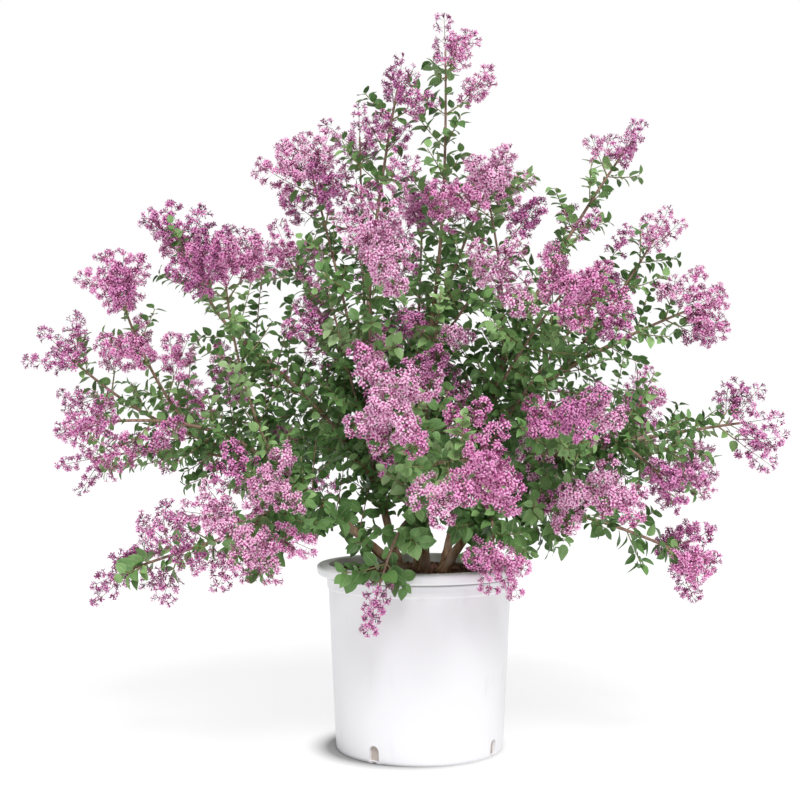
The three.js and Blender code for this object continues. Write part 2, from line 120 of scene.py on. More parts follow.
class Value:  # an output socket that takes part in plain arithmetic
    def __init__(self, nodes, socket):
        self.nodes, self.socket = nodes, socket

    __add__, __radd__ = operator("ADD"), operator("ADD", True)
    __sub__, __rsub__ = operator("SUBTRACT"), operator("SUBTRACT", True)
    __mul__, __rmul__ = operator("MULTIPLY"), operator("MULTIPLY", True)
    __pow__, __abs__ = operator("POWER"), operator("ABSOLUTE")


class Nodes:  # the shader nodes of a material or of the sky
    def __init__(self, owner):
        owner.use_nodes = True
        self.tree = owner.node_tree

    def plug(self, socket, value):
        if isinstance(value, Value):
            self.tree.links.new(value.socket, socket)
        else:
            socket.default_value = tint(value) if isinstance(value, str) else value

    def node(self, kind, settings, sockets, output=0):
        made = self.tree.nodes.new(f"ShaderNode{kind}")
        for key, setting in settings.items():
            setattr(made, key, setting)
        for key, value in sockets.items():
            self.plug(made.inputs[key], value)
        return Value(self, made.outputs[output])


class Finish(Nodes):  # one material, its shader and what feeds it
    def __init__(self, name, roughness=0.6, specular=0.4):
        self.material = bpy.data.materials.new(name)
        super().__init__(self.material)
        self.feed("Roughness", roughness)
        self.feed("Specular IOR Level", specular)

    def feed(self, socket, value):
        self.plug(self.tree.nodes["Principled BSDF"].inputs[socket], value)

    def place(self, stretch=(1, 1, 1)):  # where a point lies on the object, in metres
        here = self.node("TexCoord", {}, {}, "Object")
        return self.node("VectorMath", {"operation": "MULTIPLY"}, {0: here, 1: stretch})

    def part(self, vector, axis):
        return self.node("SeparateXYZ", {}, {0: vector}, axis)

    def spot(self, axis):  # a number kept on the mesh: across, along, or one drawn for each item
        return self.part(self.node("Attribute", {"attribute_name": "spot"}, {}, "Vector"), axis)

    def noise(self, scale, detail=3, stretch=(1, 1, 1)):
        sockets = {"Vector": self.place(stretch), "Scale": scale, "Detail": detail}
        return self.node("TexNoise", {}, sockets, "Fac")

    def cells(self, scale, stretch=(1, 1, 1)):
        return self.node("TexVoronoi", {}, {"Vector": self.place(stretch), "Scale": scale}, "Distance")

    def span(self, value, low, high, start=0, end=1):
        sockets = {"Value": value, "From Min": low, "From Max": high, "To Min": start, "To Max": end}
        return self.node("MapRange", {}, sockets)

    def blend(self, mask, first, second):
        return self.node("Mix", {"data_type": "RGBA"}, {0: mask, 6: first, 7: second}, 2)

    def paint(self, colour):
        self.feed("Base Color", colour)

    def bump(self, height, strength, distance):
        sockets = {"Height": height, "Strength": strength, "Distance": distance * mm}
        self.feed("Normal", self.node("Bump", {}, sockets))


def potFinish():
    made = Finish("white moulded plastic", specular=0.45)
    broad, fine = made.noise(9, 2), made.noise(420)
    scuffs = made.span(made.noise(60, 4, (1, 1, 0.25)), 0.62, 0.8)
    white = made.blend(scuffs * 0.35, made.blend(broad, "f3f2f6", "f9f9fb"), "dedde2")
    # painted shade, with some grime, darkens the groove under the lip
    p, height = potShape, made.part(made.place(), 2)
    level = potHigh.z - (p["lip"] + p["groove"] / 2) * mm
    out = made.node("VectorMath", {"operation": "LENGTH"}, {0: made.place((1, 1, 0))}, 1)
    shadeAndGrime = made.span(abs(height - level), 0.6 * mm, 1.3 * mm, 1, 0)
    for low, high in p["shadeAndGrime"]:
        shadeAndGrime = shadeAndGrime * made.span(out, (p["topRadius"] + low) * mm, (p["topRadius"] + high) * mm)
    made.paint(made.blend(shadeAndGrime * 0.6, white, "6f6660"))
    made.feed("Roughness", 0.26 + 0.1 * broad + 0.2 * scuffs)
    made.bump(fine + 0.6 * made.noise(35, 2), 0.12, 0.3)
    return made


# a grey-tan sheet as painted shade on the back wall of each drain recess, where the white plastic lies in
# shadow
def drainShadeFinish():
    made = Finish("drain liner", 0.7, 0.3)
    made.paint(made.blend(made.noise(180, 4), "b3a79f", "cabfb7"))
    made.bump(made.noise(900), 0.3, 0.3)
    return made


def soilFinish():
    made = Finish("damp potting soil", 0.95, 0.2)
    grains, clumps = made.cells(520), made.noise(90, 5)
    made.paint(made.blend(made.span(grains, 0.25, 0.6), made.blend(clumps, "3c251c", "6b4a3f"), "8a6455"))
    made.bump(clumps + 0.6 * grains, 0.8, 2)
    return made


def chipFinish(name, low, high):
    made = Finish(name, 0.85, 0.25)
    grain = made.noise(300, 5, (1, 0.3, 1))
    made.paint(made.blend(made.spot("Z"), made.blend(grain, low, high), low))
    made.bump(grain, 0.5, 0.6)
    return made


def barkFinish():
    made = Finish("lilac bark", 0.8, 0.25)
    plates = made.noise(260, 6, (1, 1, 0.22))
    brown = made.blend(made.span(plates, 0.32, 0.66), "5e4431", "a98766")
    grey = made.blend(made.span(made.noise(38), 0.45, 0.65), brown, "ab9583")
    pores = made.span(made.cells(210, (1, 1, 0.6)), 0.16, 0.06)  # pale raised dots
    made.paint(made.blend(pores * 0.7, grey, "cbbca4"))
    made.bump(plates + 0.35 * pores, 0.6, 0.9)
    return made


def twigFinish(name, low, high):
    made = Finish(name, 0.7, 0.3)
    streaks = made.noise(330, 4, (1, 1, 0.4))
    made.paint(made.blend(made.span(streaks, 0.3, 0.7), low, high))
    made.bump(streaks, 0.4, 0.4)
    return made


def leafFinish(name, low, high):
    made = Finish(name, specular=0.45)
    side = abs(made.spot("X"))
    midrib, rim = made.span(side, 0.02, 0.11, 1, 0), made.span(side, 0.8, 1)
    veins = made.node("Math", {"operation": "SINE"}, {0: (made.spot("Y") - 0.32 * side) * 46})
    veins = made.span(veins, 0.72, 1.0) * (1 - side)
    flesh = made.blend(made.spot("Z"), low, high)
    flesh = made.blend(made.span(made.noise(140), 0.35, 0.7) * 0.35, flesh, high)
    made.paint(made.blend((midrib + 0.4 * veins + 0.5 * rim) * 0.4, flesh, "b3c58e"))
    made.feed("Roughness", 0.34 + 0.2 * made.noise(70, 2))
    made.bump(made.noise(500, 2) * 0.25 - 0.8 * veins - midrib, 0.6, 0.6)
    return made


def corollaFinish(name, throat, lobe, edge):
    made = Finish(name, 0.62, 0.25)
    out = made.spot("Y")
    petal = made.blend(made.span(out, 0.35, 0.95), lobe, edge)
    petal = made.blend(made.spot("Z") * 0.6, petal, lobe)
    made.paint(made.blend(made.span(out, 0.12, 0.6), throat, petal))
    made.bump(made.noise(700, 2) + abs(made.spot("X")), 0.25, 0.2)
    return made


def tubeFinish(name, foot, mouth):
    made = Finish(name, 0.6, 0.3)
    colour = made.blend(made.spot("Y"), foot, mouth)
    made.paint(made.blend(made.spot("Z") * 0.5, colour, foot))
    made.bump(made.noise(800, 2), 0.2, 0.2)
    return made


# meshes
def unit(vectors):
    vectors = np.asarray(vectors, float)
    return vectors / np.maximum(np.linalg.norm(vectors, axis=-1, keepdims=True), 1e-9)


def rows(*columns):
    return np.stack(np.broadcast_arrays(*columns), -1)


def circle(sides):
    angles = np.arange(sides) * 2 * pi / sides
    return np.cos(angles), np.sin(angles)


def makePiece(name, points, faces, finish, nodes, spots=None):
    mesh = bpy.data.meshes.new(name)
    mesh.from_pydata(points, [], faces)
    if spots is not None:
        kept = mesh.attributes.new("spot", "FLOAT_VECTOR", "POINT")
        kept.data.foreach_set("vector", np.asarray(spots, np.float32).ravel())
    mesh.shade_smooth()
    mesh.materials.append(finish.material)
    piece = place(name, mesh)
    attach(piece, "root")
    if nodes:
        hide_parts(*sorted(nodes))
    return piece


class Pile:  # triangles gathered for one piece, with the nodes that it stands for
    def __init__(self):
        self.parts, self.nodes, self.count = [], set(), 0

    def add(self, points, faces, spots, node):
        self.parts.append((points, faces + self.count, spots))
        self.count += len(points)
        self.nodes.add(node)

    # copies of a template at the chosen origins; a frame's rows are its side, its direction and its rise
    def stamp(self, template, origins, frames, sizes, draws, node, chosen=slice(None)):
        points, faces, spots = template
        origins, count = origins[chosen, None], len(origins[chosen])
        if not count:
            return
        placed = points[None] * sizes[chosen].reshape(count, 1, -1)
        placed = np.einsum("nvk,nkj->nvj", placed, frames[chosen]) + origins
        shifts = np.arange(count)[:, None, None] * len(points)
        kept = np.repeat(spots[None], count, 0)
        kept[..., 2] = draws[chosen, None]
        self.add(placed.reshape(-1, 3), (faces[None] + shifts).reshape(-1, 3), kept.reshape(-1, 3), node)

    def piece(self, name, finish, slot):
        points, faces, spots = map(np.concatenate, zip(*self.parts))
        makePiece(name, points, faces, finish, self.nodes, spots)
        print(f"{name}: {len(faces)} triangles for {len(self.nodes)} nodes")


def framesAlong(directions, hints):
    directions = unit(directions)
    side = np.cross(directions, np.broadcast_to(hints, directions.shape))
    side[np.linalg.norm(side, axis=-1) < 0.05] = (1.0, 0.0, 0.0)
    side = unit(side)
    return np.stack([side, directions, np.cross(side, directions)], axis=-2)


def tubeMesh(centres, radii, sides):  # a closed tube of triangles
    lines = unit(np.gradient(centres, axis=0))
    keeper = np.eye(3)[np.abs(unit(centres[-1] - centres[0])).argmin()]
    across = unit(np.cross(lines, keeper))
    other = np.cross(lines, across)
    wide, high = circle(sides)
    ring = wide[:, None] * across[:, None] + high[:, None] * other[:, None]
    rings = len(centres)
    points = (centres[:, None] + ring * np.reshape(radii, (rings, -1, 1))).reshape(-1, 3)
    points = np.concatenate([points, centres[:1], centres[-1:] + lines[-1:] * radii.flat[-1] * 0.6])
    here = np.arange(sides)
    turn = (here + 1) % sides
    feet = np.arange(rings - 1)[:, None] * sides
    a, b = (feet + here).ravel(), (feet + turn).ravel()
    end, last = rings * sides, (rings - 1) * sides
    return points, np.concatenate([
        rows(a, b, b + sides), rows(a, b + sides, a + sides),
        rows(end, turn, here), rows(end + 1, last + here, last + turn)])


# the plan of the bush, as the solids have it
# for each stem its foot, its tip, the radii at both and how far its middle bows out
stems = dict(
    leader=((4, 8), (22, 24, 615), (6, 3), (-14, 0, 0)),
    left_leader=((-26, 16), (-72, 8, 565), (5.8, 3), (-30, 0, 10)),
    left=((-22, -18), (-215, -25, 397), (6.6, 3.2), (6, 0, 0)),
    right=((31, -12), (205, -20, 410), (6.2, 3.2), (-34, 0, 10)),
    right_leader=((34, 20), (135, 15, 565), (5.6, 3), (-22, 0, 10)),
    front=((8, -36), (5, -175, 405), (5.4, 3), (0, 34, 0)),
    back=((0, 44), (0, 190, 475), (6, 3.2), (0, -30, 0)),
)
# for each bough the stem that it leaves, where along it, and its tip
boughs = dict(
    left_shoulder=("stem_left_leader", 0.34, (-235, 30, 545)),
    far_left=("stem_left", 0.72, (-330, 20, 430)),
    low_left=("stem_left", 0.42, (-205, -70, 305)),
    low_right=("stem_right", 0.4, (195, -60, 322)),
    far_right=("stem_right", 0.74, (315, 20, 420)),
    right_shoulder=("stem_right_leader", 0.5, (240, 35, 535)),
    back_left=("stem_back", 0.5, (-180, 215, 425)),
    back_right=("stem_back", 0.42, (190, 215, 425)),
)
# for each mass what it grows on and where, its tip, how far its shoots stand out, the pairs that may
# flower, the share of them that do, and how far its stem arches over, where it does
masses = dict(
    crest=("stem_leader", 1, (34, 0, 1000), 68, 2, 0.9),
    crest_left=("stem_left_leader", 1, (-20, -25, 940), 52, 5, 0.9),
    crest_right=("stem_leader", 0.8, (120, 30, 822), 66, 3, 0.8),
    slender_left=("stem_left_leader", 0.8, (-84, 50, 890), 52, 6, 0.9),
    upper_left=("stem_left_leader", 0.62, (-162, -10, 835), 80, 3, 0.9),
    left_shoulder=("bough_left_shoulder", 1, (-345, 20, 748), 66, 2, 0.8),
    left_crown=("stem_left", 0.86, (-256, -110, 690), 80, 1, 1),
    outer_left=("bough_far_left", 0.85, (-418, -40, 672), 76, 4, 1),
    far_left=("bough_far_left", 1, (-524, 10, 572), 56, 2, 0.7),
    left=("stem_left", 1, (-484, -70, 432), 68, 3, 0.8),
    left_low=("bough_far_left", 0.3, (-512, 60, 378), 44, 5, 0.7, 20),
    skirt_left=("bough_low_left", 1, (-436, -50, 228), 60, 4, 0.8, 50),
    low_left=("bough_low_left", 0.6, (-216, -235, 268), 74, 2, 1, 60),
    front_left=("stem_left", 0.64, (-188, -250, 366), 66, 3, 0.8),
    far_right=("bough_far_right", 1, (498, 0, 448), 66, 1, 0.6),
    right=("stem_right", 1, (338, -110, 334), 60, 1, 0.8),
    right_low=("bough_far_right", 0.45, (424, 90, 362), 60, 1, 0.8, 40),
    skirt_right=("bough_low_right", 1, (396, -40, 243), 58, 1, 0.7, 50),
    low_right=("bough_low_right", 0.62, (232, -215, 345), 64, 2, 0.7, 50),
    right_shoulder=("bough_right_shoulder", 1, (424, 10, 616), 60, 1, 0.6),
    right_peak=("bough_right_shoulder", 0.7, (352, 30, 742), 46, 1, 0.3),
    upper_right=("stem_right_leader", 1, (310, 10, 854), 50, 1, 0.7),
    right_crown=("stem_right_leader", 0.84, (74, -70, 798), 80, 2, 1),
    front_crown=("stem_leader", 0.7, (112, -150, 652), 76, 2, 0.6),
    front_upper_left=("stem_left_leader", 0.5, (-58, -230, 690), 64, 1, 0.9),
    front_upper_right=("stem_right_leader", 0.6, (186, -225, 620), 76, 1, 1),
    front=("stem_front", 1, (-58, -385, 471), 60, 2, 1),
    front_right=("stem_front", 0.8, (74, -385, 396), 76, 3, 1),
    front_low_right=("stem_right", 0.6, (170, -300, 462), 54, 2, 0.8),
    droop_left=("stem_front", 0.34, (-68, -186, 178), 42, 0, 0, 80),
    droop_right=("stem_right", 0.3, (84, -172, 230), 56, 0, 0.5, 60),
    back_crown=("stem_back", 1, (10, 190, 805), 78, 2, 0.8),
    back=("stem_back", 0.8, (-10, 430, 595), 78, 2, 0.8),
    back_low=("stem_back", 0.66, (10, 410, 335), 70, 2, 0.7, 60),
    back_left_high=("stem_left_leader", 0.56, (-215, 265, 715), 74, 0, 0.5),
    back_right_high=("stem_right_leader", 0.72, (300, 200, 660), 74, 2, 0.8),
    back_left=("bough_back_left", 1, (-385, 270, 475), 74, 2, 0.5),
    back_right=("bough_back_right", 1, (385, 270, 485), 74, 2, 0.8),
    back_left_low=("bough_back_left", 0.6, (-235, 350, 295), 62, 2, 0.7, 50),
    back_right_low=("bough_back_right", 0.6, (245, 350, 300), 62, 2, 0.7, 50),
    heart_left=("stem_left_leader", 0.22, (-128, -60, 640), 60, 2, 1),
    heart_right=("stem_right_leader", 0.26, (262, -70, 640), 60, 2, 1),
    heart_front=("stem_leader", 0.4, (28, -120, 622), 60, 3, 1),
)
growth = dict(
    gap=0.3, room=1.2, flareExtra=0.5, flareHeight=16, pull=0.42, turn=0.6, boughStart=0.8, boughEnd=2.6,
    nodeSpacing=44, reachLimit=1.25, twigBase=2.4, twigEnd=1.2, sink=4,
    manyFlowers=62, hangingDroop=70, outerHeight=840, outerReach=430, slenderWidth=50,
)


# limbs
class Limb:  # a curved limb, asked for places and directions by the share of its length
    def __init__(self, name, corners, radiusAt=None):
        self.name, self.radiusAt = name, radiusAt
        self.corners = [np.asarray(corner, float) for corner in corners]
        self.steps = np.linspace(0, 1, 201)
        trail = self.onCurve(self.steps)
        self.travelled = np.concatenate([[0], np.cumsum(np.linalg.norm(np.diff(trail, axis=0), axis=1))])
        self.length = self.travelled[-1]

    def onCurve(self, step):
        a, b, c = self.corners
        t = np.asarray(step, float)[..., None]
        return (1 - t) ** 2 * a + 2 * (1 - t) * t * b + t ** 2 * c

    def stepOf(self, share):
        return np.interp(np.asarray(share, float) * self.length, self.travelled, self.steps)

    def at(self, share):
        return self.onCurve(self.stepOf(share))

    def along(self, share):
        a, b, c = self.corners
        t = self.stepOf(share)[..., None]
        return unit((1 - t) * (b - a) + t * (c - b))


def taper(base, end):
    return lambda share: base + (end - base) * np.asarray(share, float)


class Stem(Limb):
    def __init__(self, key, foot, tip, radii, bow):
        start = np.array([foot[0] * mm, foot[1] * mm, soilHigh.z + growth["gap"] * mm])
        end = np.array(tip) * mm
        super().__init__(f"stem_{key}", (start, (start + end) / 2 + np.array(bow) * mm, end), self.flared)
        self.plain = taper(radii[0] * mm, radii[1] * mm)

    def flared(self, share):
        fade = np.exp(-np.asarray(share) * self.length / (growth["flareHeight"] * mm))
        return self.plain(share) * (1 + growth["flareExtra"] * fade)


# a limb that leaves its parent's side, or goes on from the parent's tip
def branchCorners(parent, share, tip, droop=0):
    along, start, end = parent.along(share), parent.at(share), np.array(tip) * mm
    heading = unit(end - start)
    lead = along if share == 1 else unit(along + (heading - along) * growth["turn"])
    middle = start + lead * np.linalg.norm(end - start) * growth["pull"]
    if share != 1:
        middle = middle + up * droop * mm
    return start, middle, end


class Spray(Limb):  # a mass's own stem, with what the plan says of the mass
    def __init__(self, number, key, on, share, tip, width, pairs, bloom, droop=0):
        g, parent = growth, limbs[on]
        base = parent.radiusAt(1) if share == 1 else g["twigBase"] * mm
        corners = branchCorners(parent, share, tip, droop)
        super().__init__(f"mass_{key}", corners, taper(base, g["twigEnd"] * mm))
        self.number, self.tip, self.pairs, self.bloom = number, tip, pairs, bloom
        self.width, self.headSize = width * mm, min(1.1, width / g["manyFlowers"])
        self.isHeart = key.startswith("heart")
        self.isHanging = droop > g["hangingDroop"]  # it arches over the pot's rim
        far = tip[2] > g["outerHeight"] or abs(tip[0]) > g["outerReach"]
        self.isOuter = far or width < g["slenderWidth"]


limbs = {f"stem_{key}": Stem(key, *row) for key, row in stems.items()}
for key, (on, share, tip) in boughs.items():
    radii = taper(limbs[on].radiusAt(share) * growth["boughStart"], growth["boughEnd"] * mm)
    limbs[f"bough_{key}"] = Limb(f"bough_{key}", branchCorners(limbs[on], share, tip), radii)
sprays = [Spray(number, key, *row) for number, (key, row) in enumerate(masses.items())]


class Chains:  # straight pieces along some limbs, to measure distances to
    def __init__(self, members, pieces):
        shares = np.linspace(0, 1, pieces + 1)
        trails = [limb.at(shares) for limb in members]
        radii = [limb.radiusAt(shares) for limb in members]
        self.pieces = pieces
        self.starts = np.concatenate([trail[:-1] for trail in trails])
        self.runs = np.concatenate([np.diff(trail, axis=0) for trail in trails])
        self.radii = np.concatenate([np.maximum(wide[:-1], wide[1:]) for wide in radii])

    def distances(self, points):  # one column for each limb
        offset = points[:, None] - self.starts[None]
        share = np.clip((offset * self.runs).sum(-1) / (self.runs ** 2).sum(-1), 0, 1)
        apart = np.linalg.norm(offset - share[..., None] * self.runs, axis=-1) - self.radii
        return apart.reshape(len(points), -1, self.pieces).min(-1)


limbChains = Chains(limbs.values(), 10)
sprayChains = Chains(sprays, 8)


def clearOfPot(points):
    out, room = np.hypot(points[:, 0], points[:, 1]), growth["room"] * mm
    return (points[:, 2] > potHigh.z + room) | ((out > potHigh.x + room) & (points[:, 2] > room))


# whether all the points keep to their own mass's space, and off limbs and pot
def fits(points, spray, reach=1.0, overlap=0.0):
    room = growth["room"] * mm
    apart = sprayChains.distances(points)
    own = apart[:, spray.number].copy()
    apart[:, spray.number] = np.inf
    if (own > spray.width * growth["reachLimit"] * reach).any() or not clearOfPot(points).all():
        return False
    if (apart.min(1) < own + 2 * room - overlap).any():
        return False
    return (limbChains.distances(points).min(1) > room).all()


def seeded(seed):  # the run of numbers that the solids use
    whole = 0xFFFFFFFF
    state = ((seed + 1) * 0x9E3779B9) & whole

    def draw():
        nonlocal state
        state = (state + 0x6D2B79F5) & whole
        t = ((state ^ (state >> 15)) * (state | 1)) & whole
        t = ((t + (((t ^ (t >> 7)) * (t | 61)) & whole)) ^ t) & whole
        return (t ^ (t >> 14)) / (whole + 1)

    return lambda low, high: low + (high - low) * draw()


def turns(count, start=0):  # pairs that turn by a quarter from one to the next
    return [(pair, start + pair * quarter + way) for pair in range(count) for way in (0, pi)]


def shootsOf(spray):  # where a mass's side shoots go
    draw = seeded(spray.number)
    crown = 1 - flowerHead["length"] * mm / spray.length
    count = max(2, int(crown * spray.length / (growth["nodeSpacing"] * mm) + 0.5))
    shoots = []
    for node, turn in turns(count, draw(0, pi)):
        spin, lean = turn + draw(-0.3, 0.3), draw(0.5, 0.9)
        reach = spray.width * draw(1.15, 1.6)
        flowers = draw(0, 1) < spray.bloom and node >= count - spray.pairs
        shoots.append((crown * (node + 0.6) / count, spin, lean, reach, flowers))
    return crown, shoots


def outward(line, spin, lean):
    side, direction, rise = framesAlong(line[None], up)[0]
    return unit(cos(spin) * side + lean * direction + sin(spin) * rise)


# leaves
leaf = dict(
    length=(15, 25), width=0.76, petiole=0.24, petioleRadius=0.6,
    heights=(280, 370, 750, 950), sizes=(1.08, 0.8, 0.8, 0.84),  # larger low down, smaller at the crest
    distances=(150, 350), shares=(1, 0.86),  # smaller out to the sides
    along=(0.02, 0.12, 0.3, 0.52, 0.74, 0.91), half=(0.36, 0.8, 1.0, 0.94, 0.65, 0.24),  # its outline
    fold=(0.12, 0.42), curl=(0.02, 0.35), twist=(-0.35, 0.35), wave=0.02, forms=10,
    shades=dict(Deep=("3a602f", "76a55b"), Mid=("4f7a3f", "9ac47b"),
                Fresh=("6b974e", "abd08c"), Pale=("7fa465", "aeca92")),
    lowBelow=360, backBeyond=150,
    lowShares=(0.68, 0.32), backShares=(0.5, 0.35, 0.15), frontShares=(0.42, 0.4, 0.15, 0.03),
)
leafLot = []  # leaves waiting for their shapes


def leafTemplate(draw):
    along, across = np.array(leaf["along"]), np.array([-1, 0, 1])
    half = np.array(leaf["half"]) * leaf["width"] / 2
    fold, curl = draw.uniform(*leaf["fold"]), draw.uniform(*leaf["curl"])
    twist, phase = draw.uniform(*leaf["twist"]), draw.uniform(0, 6)
    x = across * half[:, None] * (1 + 0.06 * sin(phase))
    y = along[:, None] - 0.05 * across ** 2 * (along[:, None] < 0.1)
    z = fold * np.abs(x) + leaf["wave"] * np.sin(9 * y + phase) * across
    x, y, z = np.concatenate([[[0, 0, 0]], rows(x, y, z).reshape(-1, 3), [[0, 1, 0]]]).T
    z = z - curl * y ** 2
    c, s = np.cos(twist * y), np.sin(twist * y)
    points = rows(x * c - z * s, y + leaf["petiole"], x * s + z * c)
    faces = []
    for first in (1, 2):
        last = first + 3 * (len(along) - 1)
        faces += [(0, first + 1, first), (last, last + 1, len(points) - 1)]
        for a in range(first, last, 3):
            faces += [(a, a + 1, a + 4), (a, a + 4, a + 3)]
    spots = rows([0, *np.tile(across, len(along)), 0], [0, *np.repeat(along, 3), 1], 0)
    return points, np.array(faces), spots.astype(float)


def coneTemplate(sides):  # an open trumpet along +Y, from a point to radius 1, of length 1
    wide, high = circle(sides)
    points = np.concatenate([[[0, 0, 0]], rows(high, 1, wide)])
    a = np.arange(sides)
    return points, rows(0, a + 1, (a + 1) % sides + 1), rows(0, [0] + [1.0] * sides, 0)


# flower heads
flowerHead = dict(
    length=76, radius=25, lean=(0.3, 0.85), whorlGap=8.0, stationGap=4.8, crest=4,
    branchShare=0.56, branchRadius=0.36, rachisRadius=0.6, stalk=0.3, stalkRadii=(1.2, 1.05, 0.9),
    # the smaller heads about a large one
    splay=(0.85, 1.4), sideSizes=(0.88, 0.68), sideFoot=0.14, sideStalk=0.8, overlap=14,
    shades=dict(Pale=("aa287b", "fdaede", "fff4fd"), Rosy=("94206b", "f68fd0", "ffdcf4"),
                Mauve=("7a1e5a", "e37cc1", "fbc6e8"), Deep=("5c1444", "c464a4", "eca8d6")),
    # the shares of the shades for front, outer and inner heads: the paler mixes at the front and in the
    # crown are partly painted light, lifting heads that stand in the light or in the crown's shade; the
    # spread of shades itself is the florets' own colour
    frontBefore=-140,
    frontShares=(0.5, 0.38, 0.12, 0), outerShares=(0, 0.4, 0.4, 0.2), innerShares=(0.15, 0.4, 0.33, 0.12),
)
floret = dict(tube=(5.0, 7.5), throat=0.8, waist=2.8, lobeWidth=2.7, lobe=4.7, sizes=(0.8, 1.15), forms=6)
bud = dict(length=(4.5, 7.5), radius=0.95)


def corollaTemplate(draw):  # four pointed lobes round an open throat, facing +Y
    cup, width = draw.uniform(-0.5, 0.7), draw.uniform(0.85, 1.12)
    points, spots, faces = [], [], []
    for lobe in range(4):
        angle, foot = lobe * quarter + draw.uniform(-0.12, 0.12), 4 * lobe
        lift = cup + draw.uniform(-0.25, 0.25)
        waist, rise = floret["lobeWidth"] / floret["waist"] * width / 2, 0.35 * lift + 0.15
        for turn, radius, height, across, out in (
                (0, floret["throat"] * 0.6, 0, 0, 0.1), (-waist, floret["waist"], rise, 1, 0.6),
                (0, floret["lobe"], 1.1 * lift, 0, 1), (waist, floret["waist"], rise, 1, 0.6)):
            points.append((radius * sin(angle + turn), height, radius * cos(angle + turn)))
            spots.append((across, out, 0))
        faces += [(foot, foot + 1, foot + 3), (foot + 1, foot + 2, foot + 3)]
    return np.array(points) * mm, np.array(faces), np.array(spots, float)


def budTemplate(sides=3):  # a club along +Y, of length 1 and radius 1
    wide, high = circle(sides)
    points = np.concatenate([rows(high, 0, wide) * 0.35, rows(high, 0.72, wide), [(0, 1, 0)]])
    a = np.arange(sides)
    b = (a + 1) % sides
    faces = np.concatenate([
        rows(a, b, b + sides), rows(a, b + sides, a + sides), rows(a + sides, b + sides, 2 * sides)])
    return points, faces, rows(0, [0] * sides + [0.7] * sides + [1], 0)


florets = {shade: [] for shade in flowerHead["shades"]}
buds, branchlets = [], []
woodyTwigs, greenShoots, flowerStalks = Pile(), Pile(), Pile()


def addTwig(pile, centres, radii, sides, spray):
    points, faces = tubeMesh(centres, radii, sides)
    pile.add(points, faces, np.zeros_like(points), spray.name)


def growHead(base, tip, radius, style, spray, draw):
    h, axis, length = flowerHead, unit(tip - base), np.linalg.norm(tip - base)
    side, _, rise = framesAlong(axis[None], up)[0]
    whorls = max(5, round(length / (h["whorlGap"] * mm)))
    turn = draw.uniform(0, pi)
    bend = (side * draw.normal(0, 0.04) + rise * draw.normal(0, 0.04)) * length
    shares = np.linspace(0, 0.88, 6)
    rachis = base + axis * length * shares[:, None] + bend * shares[:, None] ** 2
    addTwig(flowerStalks, rachis, h["rachisRadius"] * mm * (1.1 - 0.6 * shares), 3, spray)
    parts = []  # places, directions and the chance that a floret is open
    for whorl, spin in turns(whorls, turn):
        if draw.uniform() < style["gaps"]:
            continue
        share = 0.86 * (whorl + 0.4) / whorls
        spin = spin + draw.normal(0, 0.3)
        out = cos(spin) * side + sin(spin) * rise
        line = unit(out + axis * draw.uniform(*h["lean"]))
        reach = radius * (1.25 - 0.6 * share) * draw.uniform(0.7, 1.15) * h["branchShare"]
        start = base + axis * length * share + bend * share ** 2
        branchlets.append((start, start + line * reach, spray.name))
        stations = max(2, round(reach / (h["stationGap"] * mm)))
        spread = 0.3 + 0.7 * (np.arange(stations) + 1) / stations
        each = (style["each"] + draw.uniform(0, 1, stations)).astype(int)
        each[-1] += 1
        places = np.repeat(start + line * reach * spread[:, None], each, 0)
        ways = np.repeat((out * 0.75 + axis * 0.4)[None], len(places), 0)
        parts.append((places, ways, np.full(len(places), 1.08 - 0.75 * share * style["budded"])))
    crest = np.ones((h["crest"], 1))
    parts.append((crest * rachis[-1], crest * axis, crest[:, 0] - 0.7 * style["budded"]))
    places, ways, openness = map(np.concatenate, zip(*parts))
    ways = unit(ways + draw.normal(0, 0.42, ways.shape))
    opened = draw.uniform(0, 1, len(places)) < openness
    florets[style["shade"]].append((places[opened], ways[opened], spray.name))
    buds.append((places[~opened], ways[~opened], spray.name))


def addLeaf(root, direction, shade, spray, draw, share=1):
    size = np.interp(root[2] / mm, leaf["heights"], leaf["sizes"]) * np.interp(
        abs(root[0]) / mm, leaf["distances"], leaf["shares"])
    length = draw.uniform(*leaf["length"]) * size * share
    leafLot.append((root, direction, length * mm, shade, spray.number, draw.uniform()))


# a leafy shoot: a slender stalk that rises a little, with pairs of leaves
shoot = dict(
    length=(42, 88), heartLength=51, gap=7.4, radius=(1.0, 0.7), rise=0.12, missing=0.06, overlap=10,
    heights=(700, 850), topped=(0.12, 0.35), leafGap=(17, 28), hangingGap=26,  # by the tip's height
)


def growLeafyShoot(root, direction, length, shade, spray, draw, pile=greenShoots):
    tip = root + direction * length + up * length * shoot["rise"]
    middle = (root + tip) / 2 - up * length * shoot["rise"] * 0.5 + draw.normal(0, 0.03, 3) * length
    limb = Limb("shoot", (root, middle, tip))
    addTwig(pile, limb.at(np.linspace(0, 1, 5)), np.linspace(*shoot["radius"], 5) * mm, 3, spray)
    pairs = max(2, round(length / (shoot["gap"] * mm)))
    turn = draw.uniform(0, pi)
    for pair in range(pairs):
        share, lean = (pair + 0.9) / pairs, draw.uniform(0.35, 0.9)
        for way in (0, pi):
            if draw.uniform() < shoot["missing"]:
                continue
            line = outward(limb.along(share), turn + pair * quarter + way + draw.normal(0, 0.25), lean)
            addLeaf(limb.at(share), line, shade, spray, draw, 1 - 0.3 * abs(share - 0.5))
    return limb


def leafShadeOf(spray, draw):
    _, y, z = spray.tip
    isBack = spray.isHeart or y > leaf["backBeyond"]
    kind = "lowShares" if z < leaf["lowBelow"] else "backShares" if isBack else "frontShares"
    return draw.choice(list(leaf["shades"])[:len(leaf[kind])], p=leaf[kind])


